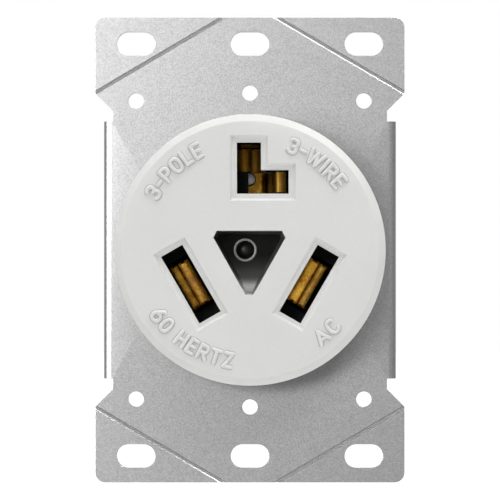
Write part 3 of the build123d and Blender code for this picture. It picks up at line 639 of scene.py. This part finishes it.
def neutral_brass_painted_shade_and_light():
    """The neutral contact's brass: polished on its foot and dull on its leaves, with painted shade darkening
    the leaves, the foot's front and everything deep, and painted light on the far right of the foot's front
    band.
    """
    colours = ((0.50, 0.225, 0.025), (0.68, 0.37, 0.048), (0.86, 0.54, 0.09))
    finish = grained("neutral_brass", grain_sizes(2600.0, 420.0), zip(METAL_STOPS, colours), (0.54, 0.42),
                     (0.25, METAL_BUMP), Specular_IOR_Level=0.04)
    tree = finish.tree
    place = object_place(tree)
    in_foot = between(tree, place["Z"], NEUTRAL_SPLIT_Z - 0.2, NEUTRAL_SPLIT_Z + 0.2, 1.0, 0.0)
    in_leaves = between(tree, place["Z"], NEUTRAL_SPLIT_Z - 0.2, NEUTRAL_SPLIT_Z + 0.2, 0.0, 1.0)
    polished = product(tree, in_foot, between(tree, place["X"], 5.0, 5.4, 1.0, 0.0))
    tree.links.new(mapped_range(tree, polished, 0.0, 1.0, 0.15, 0.75), finish.shader.inputs["Metallic"])
    # Painted shade and light across the contact's front: leaves darkened, the right one more; the foot's band
    # a little darker, darker still to its left, and brighter at its right end
    across = between(tree, place["X"], -4.0, 8.0, 0.0, 1.0)
    band = (0.74, 0.76, 0.85)
    foot_painted_light_stops = ((0.755, (0.24, 0.24, 0.24)), (0.775, band), (0.86, band), (0.88, (1.4, 1.4, 1.8)))
    leaf_painted_shade_stops = ((0.32, (0.42, 0.35, 0.26)), (0.345, (0.27, 0.24, 0.18)))
    front = blended(tree, in_leaves, ramp(tree, across, foot_painted_light_stops), ramp(tree, across, leaf_painted_shade_stops))
    painted_shade_and_light = blended(tree, between(tree, place["Y"], 4.0, 7.0, 0.0, 1.0), front)
    # Painted shade where the contact lies deep
    return shaded(finish, tinted(tree, painted_shade_and_light, between(tree, place["Y"], 8.8, 9.7, 1.0, 0.12)))


def tinned_lug():
    """Tin-plated terminal metal, dull, with painted shade darkening the front side that lies against the
    contact nearly to black.
    """
    colours = ((0.40, 0.40, 0.39), (0.50, 0.50, 0.49), (0.60, 0.60, 0.59))
    finish = grained("tinned_lug", grain_sizes(2600.0, 420.0), zip(METAL_STOPS, colours), (0.44, 0.28),
                     (0.25, METAL_BUMP), Metallic=1.0)
    return shaded(finish, between(finish.tree, object_place(finish.tree)["Y"], 10.0, 12.5, 0.02, 1.0))


def eyelet_metal():
    """Plated rivet steel, bright on its rolled rim and rear head, and darkened down its bore by painted
    shade, a little less on the bore's domed end.
    """
    colours = ((0.15, 0.15, 0.147), (0.21, 0.21, 0.206), (0.27, 0.27, 0.264))
    finish = grained("eyelet_metal", grain_sizes(2600.0, 500.0), zip(METAL_STOPS, colours), (0.5, 0.4),
                     (0.2, METAL_BUMP), Metallic=0.2, Specular_IOR_Level=0.1)
    down = between(finish.tree, object_place(finish.tree)["Y"], -5.0, 25.0, 0.0, 1.0)
    painted_bore_shade = greys((0.044, 1.0), (0.053, 0.1), (0.097, 0.04))
    bore_end = ((0.104, (0.15, 0.15, 0.14)), (0.125, (0.11, 0.11, 0.1)))
    rear = greys((0.14, 0.1), (0.8, 0.1), (0.84, 1.0))
    return shaded(finish, ramp(finish.tree, down, painted_bore_shade + bore_end + rear))


INSULATOR_BLACK = ((0.0014, 0.0014, 0.0012), (0.002, 0.002, 0.0017), (0.004, 0.004, 0.0036))
HOUSING_BLACK = ((0.005, 0.005, 0.0055), (0.007, 0.007, 0.0075), (0.011, 0.011, 0.0115))
# LEFT_BRASS and RIGHT_BRASS are lit and shaded copies of one brass: the right contact's is brighter, as
# painted light
LEFT_BRASS = ((0.18, 0.06, 0.004), (0.38, 0.17, 0.01), (0.72, 0.42, 0.03))
RIGHT_BRASS = ((0.36, 0.12, 0.011), (0.64, 0.32, 0.027), (0.92, 0.56, 0.07))
SPRING_GREY = ((0.05, 0.05, 0.055), (0.08, 0.08, 0.085), (0.12, 0.12, 0.125))
RIVET_GREY = ((0.20, 0.20, 0.21), (0.28, 0.28, 0.29), (0.38, 0.38, 0.39))
SCREW_GREY = ((0.34, 0.34, 0.35), (0.44, 0.44, 0.45), (0.55, 0.55, 0.56))
MATERIALS = {
    "strap_steel": galvanised_steel(),
    "face_plastic": moulded_plastic("white_nylon", NYLON, 0.5, 0.10, 0.04).material,
    "letter_plastic_painted_shadow": letter_plastic_painted_shadow(),
    "insulator_plastic": moulded_plastic("black_gloss_plastic", INSULATOR_BLACK, 0.4, 0.03, 0.03).material,
    "well_gloss": well_gloss(),
    "well_wall_painted_light": well_wall_painted_light(),
    "base_plastic": moulded_plastic("black_moulding", HOUSING_BLACK, 0.5, 0.35, 0.1).material,
    # The inner and outer leaf tones are painted light and shade: on the right contact the inner leaf is
    # painted lit and the outer one shaded
    "line_brass_left": leaf_brass("left", LEFT_BRASS, (1.05, 0.95)),
    "line_brass_right": leaf_brass("right", RIGHT_BRASS, (1.25, 0.6)),
    "neutral_brass": neutral_brass_painted_shade_and_light(),
    "spring_steel": rolled_metal("spring_steel", SPRING_GREY, 0.35).material,
    "lug_metal": tinned_lug(),
    "rivet_steel": rolled_metal("rivet_steel", RIVET_GREY, 0.34).material,
    "eyelet": eyelet_metal(),
    "screw_steel": rolled_metal("zinc_screw", SCREW_GREY, 0.28).material,
}


def make_rounded_pieces():
    """The moulded and pressed pieces, with the small edge radius each one has."""
    plan = (
        ("mounting_strap", "strap_sheet", 0.12, "strap_steel"),
        ("face_cover", "face_moulding", 0.13, "face_plastic"),
        ("front_insulator", "insulator_moulding", 0.12, "insulator_plastic"),
        ("base_body", "housing_moulding", 0.35, "base_plastic"),
        ("neutral_contact", "neutral_strip", 0.08, "neutral_brass"),
        ("contact_spring_left", "spring_clip_left", 0.08, "spring_steel"),
        ("contact_spring_right", "spring_clip_right", 0.08, "spring_steel"),
        ("contact_spring_neutral", "spring_clip_neutral", 0.08, "spring_steel"),
        ("terminal_lug_left", "wire_lug_left", 0.15, "lug_metal"),
        ("terminal_lug_right", "wire_lug_right", 0.15, "lug_metal"),
        ("terminal_lug_neutral", "wire_lug_neutral", 0.15, "lug_metal"),
        ("assembly_screw_upper_left", "case_screw_upper_left", 0.1, "screw_steel"),
        ("assembly_screw_upper_right", "case_screw_upper_right", 0.1, "screw_steel"),
        ("assembly_screw_lower", "case_screw_lower", 0.1, "screw_steel"),
    )
    for node, name, radius, finish in plan:
        rounded_copy(node, name, radius, MATERIALS[finish])


def oval(cx, cy, rx, ry, start, end, steps=26):
    """A squared-off oval stroke between two angles in degrees."""
    angle = np.radians(np.linspace(start, end, steps))
    x = cx + rx * squared_off(np.cos(angle), LETTER_SQUARENESS)
    y = cy + ry * squared_off(np.sin(angle), LETTER_SQUARENESS)
    return np.stack([x, y], axis=-1)


def run(*points):
    """A stroke of straight runs."""
    return np.array(points, float)


def glyphs():
    """Centre lines of the raised characters: width, then strokes in a cell one unit high."""
    bowl = np.concatenate([run((0, 1)), oval(0.26, 0.74, 0.3, 0.26, 90, -90), run((0, 0.48))])
    six = np.concatenate([run((0.5, 1.0), (0.34, 0.98)), oval(0.3, 0.3, 0.3, 0.3, 150, 510, 40)])
    three_top = oval(0.27, 0.75, 0.27, 0.25, 155, -90)
    three_low = oval(0.27, 0.26, 0.3, 0.26, 90, -155)
    return {
        "0": (0.58, [oval(0.29, 0.5, 0.29, 0.5, 0, 360, 48)]),
        "O": (0.66, [oval(0.33, 0.5, 0.33, 0.5, 0, 360, 48)]),
        "C": (0.6, [oval(0.33, 0.5, 0.33, 0.5, 42, 318, 40)]),
        "3": (0.56, [three_top, three_low]),
        "6": (0.6, [six]),
        "-": (0.34, [run((0.0, 0.5), (0.34, 0.5))]),
        " ": (0.16, []),
        "P": (0.56, [run((0, 0), (0, 1)), bowl]),
        "R": (0.58, [run((0, 0), (0, 1)), bowl, run((0.26, 0.48), (0.58, 0))]),
        "L": (0.48, [run((0, 1), (0, 0)), run((0, 0), (0.48, 0))]),
        "E": (0.5, [run((0, 0), (0, 1)), run((0, 1), (0.5, 1)), run((0, 0.5), (0.44, 0.5)),
                    run((0, 0), (0.5, 0))]),
        "W": (0.96, [run((0, 1), (0.22, 0)), run((0.22, 0), (0.48, 0.9)), run((0.48, 0.9), (0.74, 0)),
                     run((0.74, 0), (0.96, 1))]),
        "I": (0.0, [run((0, 0), (0, 1))]),
        "H": (0.6, [run((0, 0), (0, 1)), run((0.6, 0), (0.6, 1)), run((0, 0.5), (0.6, 0.5))]),
        "T": (0.6, [run((0, 1), (0.6, 1)), run((0.3, 1), (0.3, 0))]),
        "Z": (0.56, [run((0, 1), (0.56, 1)), run((0.56, 1), (0, 0)), run((0, 0), (0.56, 0))]),
        "A": (0.78, [run((0, 0), (0.39, 1)), run((0.39, 1), (0.78, 0)), run((0.14, 0.3), (0.64, 0.3))]),
    }


def bead(path, stroke, relief):
    """A raised bead along a plane path: half an oval with a thin foot across, a quarter circle over each end.

    Past each end the section shrinks as the square root of one minus the squared overshoot. The top
    falls evenly by a small share along the path, so crossing tops never coincide. The underside is sunk
    a little into the face."""
    half = stroke / 2
    ease = np.sin(np.radians(np.linspace(90, 0, 6)))
    along = np.gradient(path, axis=0)
    along /= np.linalg.norm(along, axis=1)[:, None] + 1e-12
    before = path[0] - along[0] * (half * ease)[:, None]
    after = path[-1] + along[-1] * (half * ease[::-1])[:, None]
    centre = np.concatenate([before, path, after])
    direction = np.concatenate([np.repeat(along[:1], 6, 0), along, np.repeat(along[-1:], 6, 0)])
    shrink = np.concatenate([np.sqrt(1 - ease ** 2), np.ones(len(path)), np.sqrt(1 - ease[::-1] ** 2)])
    side = np.stack([-direction[:, 1], direction[:, 0]], axis=-1)
    t = np.radians(np.linspace(0, 180, 13))
    edge = half + LETTER_FOOT
    offset = np.concatenate([[edge], half * np.cos(t), [-edge, -edge, edge]])
    top = np.maximum(relief * np.sin(t) ** 0.75, 0.02)
    height = np.concatenate([[0.015], top, [0.015, -LETTER_SINK, -LETTER_SINK]])
    plane = centre[:, None, :] + side[:, None, :] * (offset[None, :, None] * shrink[:, None, None])
    level = np.sqrt(shrink) * np.linspace(1, 1 - TOP_FALL, len(centre))
    lift = np.where(height > 0, height[None, :] * level[:, None], height[None, :])
    return plane, lift, grid_faces(len(centre), len(offset))


def make_lettering():
    """Raised characters on arcs round the face, read clockwise above and anticlockwise below.

    A flat point (u, v) of a word goes to the radius R + way * v and the angle middle - way * u / R."""
    shapes = glyphs()
    surfaces = []
    for text, middle, way in LETTERING:
        widths = [shapes[c][0] * LETTER_HEIGHT for c in text]
        total = sum(widths) + LETTER_SPACE * (len(text) - 1)
        left = -total / 2
        for character, width in zip(text, widths):
            for order, stroke in enumerate(shapes[character][1]):
                path = spaced(stroke * LETTER_HEIGHT + (left, -LETTER_HEIGHT / 2), LETTER_STEP)
                relief = LETTER_RELIEF * (1 - NEXT_STROKE_FALL * order)
                flat, lift, faces = bead(path, LETTER_STROKE, relief)
                radius = LETTER_RADIUS + way * flat[..., 1]
                angle = math.radians(middle) - way * flat[..., 0] / LETTER_RADIUS
                on_face = [radius * np.cos(angle), FACE_FRONT_Y - lift, radius * np.sin(angle)]
                surfaces.append((np.stack(on_face, axis=-1), faces))
            left += width + LETTER_SPACE
    new_piece("raised_lettering", surfaces, MATERIALS["letter_plastic_painted_shadow"], 50.0)


def lip_half_width(points):
    """Half the strip's width: full, but rounded by a corner radius R towards the lips' front.

    With the reach d into the corner it is half the full width - R + sqrt(R^2 - d^2)."""
    reach = np.clip(LEAF_FRONT_Y + LEAF_CORNER_R - points[:, 1], 0, LEAF_CORNER_R)
    return LEAF_HALF_LENGTH - LEAF_CORNER_R + np.sqrt(LEAF_CORNER_R ** 2 - reach ** 2)


def make_line_contacts():
    """Two-leaf brass contacts: the folded section carried across, set at the slot's radius and turned.

    The inner leaf mirrors the outer one, but for its wider lip."""
    inner = [(-x, y) for x, y in LEAF_BACK + WIDE_LIP]
    whole = inner[::-1] + list(LEAF_BACK + NARROW_LIP)
    for side, (shift, angle) in LINE_CONTACTS.items():
        path = spaced(rounded_path(whole, LEAF_FOLD_R), 0.5)
        grid, faces = folded_strip(path, BRASS_THICK, lip_half_width)
        up = grid[..., 1] + LINE_SLOT_RADIUS + shift
        points = turned(np.stack([grid[..., 0], grid[..., 2], up], axis=-1), angle)
        brass = MATERIALS["line_brass_" + side]
        piece = new_piece("leaf_pair_" + side, [(points, faces)], brass, 35.0)
        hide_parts("line_contact_" + side)


def make_centre_rivet():
    """Tubular rivet: a flattened rolled rim, a funnel and a bore that ends in a low domed floor."""
    turn = np.radians(np.linspace(60, -200, 24))
    rim_radii = RIM_R + RIM_HALF_WIDTH * squared_off(np.cos(turn), RIM_SQUARENESS)
    rim_depths = WELL_FLOOR_Y - 0.12 + RIM_HALF_HEIGHT * squared_off(np.sin(turn), RIM_SQUARENESS)
    rim = list(zip(rim_radii, rim_depths))
    funnel = [(1.79, WELL_FLOOR_Y + 0.2), (1.6, WELL_FLOOR_Y + 0.9), (1.46, WELL_FLOOR_Y + 1.5)]
    crown = WELL_FLOOR_Y + 1.8 + FLOOR_DOME_R
    dome = [(r, crown - math.sqrt(FLOOR_DOME_R ** 2 - r ** 2)) for r in np.linspace(BORE_FLOOR_R, 0, 9)]
    bore = [(1.38, WELL_FLOOR_Y + 2.3)] + dome
    outside = [(1.88, WELL_FLOOR_Y + 0.04), (1.88, REAR_HEAD_Y)]
    head = [tuple(p) for p in arc_points((2.3, REAR_HEAD_Y + 0.02), 0.86, 0, 90, 8)]
    tail = [(3.16, REAR_HEAD_Y)] + head + [(0.0, REAR_HEAD_Y + 0.88)]
    profile = bore[::-1] + funnel[::-1] + rim[::-1] + outside + tail
    surface = lathe(profile, 72, (RIVET_X, 0.0))
    piece = new_piece("tubular_rivet", [surface], MATERIALS["eyelet"], 45.0)
    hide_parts("centre_rivet")


def resampled(corners, count):
    """A closed outline as evenly spaced points, starting at its first corner."""
    closed = np.concatenate([corners, corners[:1]])
    along = np.concatenate([[0], np.cumsum(np.linalg.norm(np.diff(closed, axis=0), axis=1))])
    stations = np.linspace(0, along[-1], count, endpoint=False)
    return np.stack([np.interp(stations, along, closed[:, k]) for k in (0, 1)], axis=-1)


def make_well_skin():
    """The floor of the window's well: open and flat round the rivet, with a ramp up to the triangle's tip.

    The ramp rises by WELL_TIP_RISE * u^2, with u running from 0 at its start to 1 at the very tip."""
    corners = np.array(WINDOW)
    outline = resampled(corners, OUTLINE_POINTS)
    outward = outline - (RIVET_X, 0.0)
    inner = (RIVET_X, 0.0) + outward / np.linalg.norm(outward, axis=1)[:, None] * WELL_HOLE_R
    share = np.linspace(0, 1, FLOOR_ROWS)[:, None, None]
    flat = inner + (outline - inner) * share
    ramp_share = np.clip((WELL_TIP_TOP - flat[..., 1]) / WELL_TIP_LENGTH, 0, 1)
    rise = WELL_TIP_RISE * ramp_share ** 2
    points = np.stack([flat[..., 0], WELL_FLOOR_Y - 0.02 - rise, flat[..., 1]], axis=-1)
    faces = grid_faces(FLOOR_ROWS, OUTLINE_POINTS)
    new_piece("well_floor_skin", [(points, faces)], MATERIALS["well_gloss"], 60.0)


def inset_outline(corners, distance):
    """A convex outline moved inwards: each corner is where its two moved sides cross."""
    ahead = np.roll(corners, -1, axis=0) - corners
    ahead /= np.linalg.norm(ahead, axis=1)[:, None]
    inward = np.stack([-ahead[:, 1], ahead[:, 0]], axis=-1)
    before = np.roll(inward, 1, axis=0)
    share = distance / (1 + (before * inward).sum(axis=1))
    return corners + (before + inward) * share[:, None]


def make_well_wall():
    """The well's sloping wall, from the back of the face to the floor, just inside the moulding's own.

    At a depth d below the wall's top the outline is moved inwards by d * tan(taper) plus a constant."""
    corners = np.array(WINDOW)
    depths = np.linspace(WELL_WALL_TOP_Y, WELL_FLOOR_Y, WALL_ROWS)
    insets = (depths - WELL_WALL_TOP_Y) * math.tan(math.radians(WELL_TAPER)) + WELL_SKIN_INSET
    rings = []
    for depth, inset in zip(depths, insets):
        ring = resampled(inset_outline(corners, inset), OUTLINE_POINTS)
        rings.append(np.stack([ring[:, 0], np.full(OUTLINE_POINTS, depth), ring[:, 1]], axis=-1))
    surface = (np.stack(rings), grid_faces(WALL_ROWS, OUTLINE_POINTS))
    new_piece("well_wall_skin", [surface], MATERIALS["well_wall_painted_light"], 60.0)


def make_contact_rivets():
    """Contact rivets: a low turned head in front, a shank and a pressed tail."""
    for name, (angle, place, tail_r) in CONTACT_RIVETS.items():
        low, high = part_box("contact_rivet_" + name)
        front, back = low.y / MM, high.y / MM
        edge_middle = (STUD_HEAD_R - STUD_EDGE_R, front + STUD_EDGE_R)
        tail_middle = (tail_r - STUD_EDGE_R, back - STUD_EDGE_R)
        head_end = front + STUD_HEAD_HEIGHT
        tail_start = back - STUD_HEAD_HEIGHT
        edge = [tuple(p) for p in arc_points(edge_middle, STUD_EDGE_R, -90, 0, 6)]
        body = [(STUD_HEAD_R, head_end - 0.02), (STUD_SHANK_R, head_end)]
        body += [(STUD_SHANK_R, tail_start), (tail_r, tail_start + 0.02)]
        tail = [tuple(p) for p in arc_points(tail_middle, STUD_EDGE_R, 0, 90, 6)]
        points, faces = lathe([(0.0, front)] + edge + body + tail + [(0.0, back)], 40, place)
        piece = new_piece("contact_stud_" + name, [(turned(points, angle), faces)], MATERIALS["rivet_steel"],
                          40.0)
        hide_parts("contact_rivet_" + name)


def screw_surface(radius, start, end, pitch, depth):
    """A threaded bar along Z, whose radius falls in a V between flat crests once in each turn.

    With the phase p = (height / pitch + a / 2 pi) mod 1, the groove is depth * (1 - 1.25 * |2 p - 1|), never
    under 0. It fades out and the bar tapers a little at both ends."""
    count = int((end - start) / pitch * 12)
    height = np.linspace(start, end, count)
    turn = np.linspace(0, 2 * math.pi, THREAD_STEPS, endpoint=False)
    phase = (height[:, None] / pitch + turn[None, :] / (2 * math.pi)) % 1.0
    groove = np.clip(1 - np.abs(phase * 2 - 1) * 1.25, 0, 1)
    taper = np.clip((height - start) / 0.6, 0, 1) * np.clip((end - height) / 0.6, 0, 1)
    r = radius - depth * groove * taper[:, None] - 0.35 * (1 - taper[:, None])
    grid = np.stack([r * np.cos(turn), r * np.sin(turn), np.broadcast_to(height[:, None], r.shape)], axis=-1)
    start_centre = np.zeros((1, THREAD_STEPS, 3))
    start_centre[..., 2] = start
    end_centre = np.zeros((1, THREAD_STEPS, 3))
    end_centre[..., 2] = end
    return np.concatenate([start_centre, grid, end_centre]), grid_faces(count + 2, THREAD_STEPS)


def cut_away(piece, low, high, angle):
    """Cut a box, given upright in millimetres and then turned, out of a piece."""
    (x0, y0, z0), (x1, y1, z1) = low, high
    corners = np.array([[x, y, z] for x in (x0, x1) for y in (y0, y1) for z in (z0, z1)])
    faces = [(0, 1, 3, 2), (4, 6, 7, 5), (0, 4, 5, 1), (2, 3, 7, 6), (0, 2, 6, 4), (1, 5, 7, 3)]
    mesh = bpy.data.meshes.new("driver_slot")
    mesh.from_pydata((turned(corners, angle) * MM).tolist(), [], faces)
    cutter = bpy.data.objects.new("driver_slot", mesh)
    bpy.context.scene.collection.objects.link(cutter)
    modifier = piece.modifiers.new("driver_slot", "BOOLEAN")
    modifier.object = cutter
    modifier.operation = "DIFFERENCE"
    modifier.solver = "EXACT"
    bpy.context.view_layer.update()
    cut = bpy.data.meshes.new_from_object(piece.evaluated_get(bpy.context.evaluated_depsgraph_get()))
    piece.modifiers.clear()
    piece.data = cut
    shade(cut, 35.0)
    bpy.data.objects.remove(cutter)


def make_terminal_screws():
    """Clamping screws: a threaded bar with a driver slot in its outer end, set radially in each housing."""
    start, end = SET_SCREW_ENDS
    slot_width, slot_depth = DRIVER_SLOT
    slot_low = (-4.0, SET_SCREW_Y - slot_width / 2, end - slot_depth)
    slot_high = (4.0, SET_SCREW_Y + slot_width / 2, end + 1.0)
    for name, angle in TERMINALS.items():
        grid, faces = screw_surface(SET_SCREW_R, start, end, THREAD_PITCH, THREAD_DEPTH)
        upright = np.stack([grid[..., 0], grid[..., 1] + SET_SCREW_Y, grid[..., 2]], axis=-1)
        piece = new_piece("clamp_screw_" + name, [(turned(upright, angle), faces)], MATERIALS["screw_steel"],
                          35.0)
        cut_away(piece, slot_low, slot_high, angle)
        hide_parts("terminal_screw_" + name)


def background_share(tree, strength):
    """How white a surface is shown: a share for camera, glossy and transmission rays, none for the rest."""
    path = tree.nodes.new("ShaderNodeLightPath")
    first = new_tree_node(tree, "ShaderNodeMath", operation="MAXIMUM")
    second = new_tree_node(tree, "ShaderNodeMath", operation="MAXIMUM")
    share = new_tree_node(tree, "ShaderNodeMath", operation="MULTIPLY")
    share.inputs[1].default_value = strength
    tree.links.new(path.outputs["Is Camera Ray"], first.inputs[0])
    tree.links.new(path.outputs["Is Glossy Ray"], first.inputs[1])
    tree.links.new(first.outputs[0], second.inputs[0])
    tree.links.new(path.outputs["Is Transmission Ray"], second.inputs[1])
    tree.links.new(second.outputs[0], share.inputs[0])
    return share.outputs[0]


def make_stage():
    """A wide white floor, seen as white by the camera but still taking the object's soft shadow."""
    size = FLOOR_HALF * MM
    z = FLOOR_Z * MM
    corners = [(-size, -size, z), (size, -size, z), (size, size, z), (-size, size, z)]
    mesh = bpy.data.meshes.new("studio_floor")
    mesh.from_pydata(corners, [], [(0, 1, 2, 3)])
    floor = bpy.data.objects.new("studio_floor", mesh)
    bpy.context.scene.collection.objects.link(floor)
    material, tree, shader = start_material("studio_white", Roughness=0.9, Specular_IOR_Level=0.0)
    shader.inputs["Base Color"].default_value = (0.9, 0.9, 0.9, 1.0)
    glow = new_tree_node(tree, "ShaderNodeEmission")
    glow.inputs["Strength"].default_value = FLOOR_GLOW
    mix = tree.nodes.new("ShaderNodeMixShader")
    output = tree.nodes["Material Output"]
    tree.links.new(background_share(tree, FLOOR_WHITE_SHARE), mix.inputs["Fac"])
    tree.links.new(shader.outputs["BSDF"], mix.inputs[1])
    tree.links.new(glow.outputs["Emission"], mix.inputs[2])
    tree.links.new(mix.outputs["Shader"], output.inputs["Surface"])
    mesh.materials.append(material)


def make_world():
    """Even pale surroundings: white to the camera and in reflections, and a lower level as light."""
    world = bpy.data.worlds.new("studio")
    bpy.context.scene.world = world
    world.use_nodes = True
    tree = world.node_tree
    background = tree.nodes["Background"]
    background.inputs["Color"].default_value = (1.0, 1.0, 1.0, 1.0)
    level = new_tree_node(tree, "ShaderNodeMapRange")
    level.inputs["To Min"].default_value = AMBIENT
    level.inputs["To Max"].default_value = 1.0
    tree.links.new(background_share(tree, 1.0), level.inputs["Value"])
    tree.links.new(level.outputs["Result"], background.inputs["Strength"])


def add_softbox(name, place, size, power):
    """A rectangular soft lamp of a size, in metres, at a place, in metres, facing the object."""
    lamp = bpy.data.lights.new(name, "AREA")
    lamp.shape = "RECTANGLE"
    lamp.size, lamp.size_y = size
    lamp.energy = power
    holder = bpy.data.objects.new(name, lamp)
    bpy.context.scene.collection.objects.link(holder)
    holder.location = place
    holder.rotation_euler = (-Vector(place)).to_track_quat("-Z", "Y").to_euler()
    return holder


def make_lamps():
    """The soft lamps, and the cards that only give the metal its reflections."""
    for values in MAIN_LAMPS:
        add_softbox(*values)
    for values in METAL_CARDS:
        card = add_softbox(*values)
        card.visible_diffuse = False


def make_camera():
    """The photo's view: dead front, level with the middle, far enough back for its slight perspective."""
    lens = bpy.data.cameras.new("camera")
    lens.sensor_width = SENSOR_WIDTH
    lens.lens = SENSOR_WIDTH * CAMERA_DISTANCE / FRAME_WIDTH
    camera = bpy.data.objects.new("camera", lens)
    bpy.context.scene.collection.objects.link(camera)
    camera.location = (0.0, (STRAP_FRONT_Y - CAMERA_DISTANCE) * MM, 0.0)
    camera.rotation_euler = (math.radians(90), 0.0, 0.0)
    bpy.context.scene.camera = camera


make_camera()
make_world()
make_stage()
make_lamps()
make_rounded_pieces()
make_line_contacts()
make_well_skin()
make_well_wall()
make_centre_rivet()
make_contact_rivets()
make_terminal_screws()
make_lettering()

bpy.context.scene.view_settings.view_transform = "Standard"
